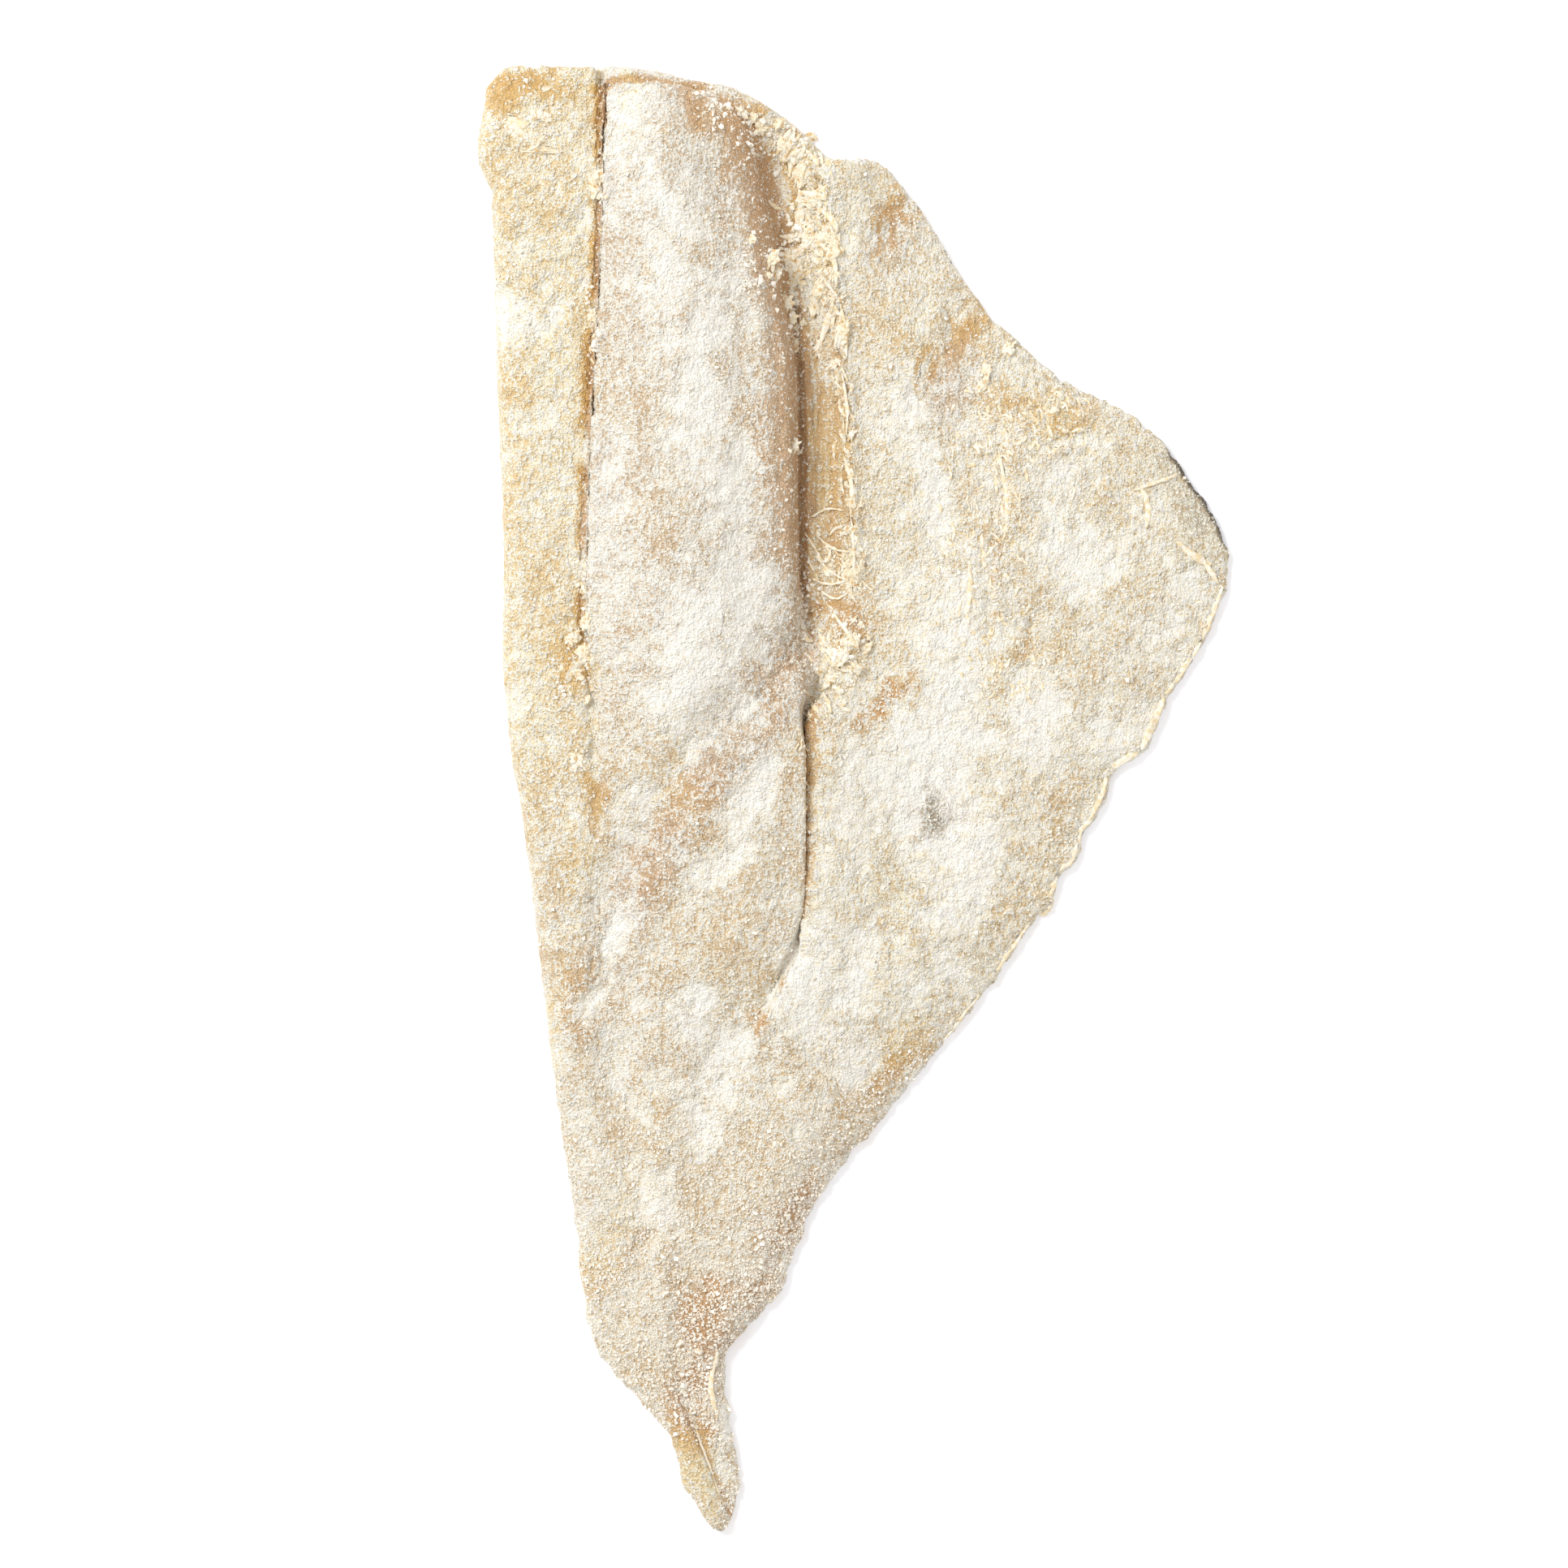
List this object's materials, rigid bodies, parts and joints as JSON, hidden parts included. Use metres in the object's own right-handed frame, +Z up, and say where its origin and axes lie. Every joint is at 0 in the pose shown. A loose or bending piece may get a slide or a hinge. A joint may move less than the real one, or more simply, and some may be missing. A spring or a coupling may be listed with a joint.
{
  "type": "salted dried cod side",
  "caption": "Boneless side of split, salted and dried cod: a thick domed loin beside a backbone groove, a thin belly flap and a narrow tail, lying on its flat skin side.",
  "frame": {"origin": "middle of the bounding box, on the flat skin side that it lies on", "axes": "+Y towards the blunt head cut and away from the tail, +X towards the belly flap, +Z up out of the cut flesh"},
  "size_m": [0.2468, 0.48, 0.0342],
  "materials": {
    "salted_flesh": "matte dried flesh in cream and tan under a crust of white salt",
    "fish_skin": "thin dried grey-brown skin, slightly satin, dusted with salt"
  },
  "bodies": {
    "root": {"cod_side": "salted_flesh"}
  },
  "joints": []
}
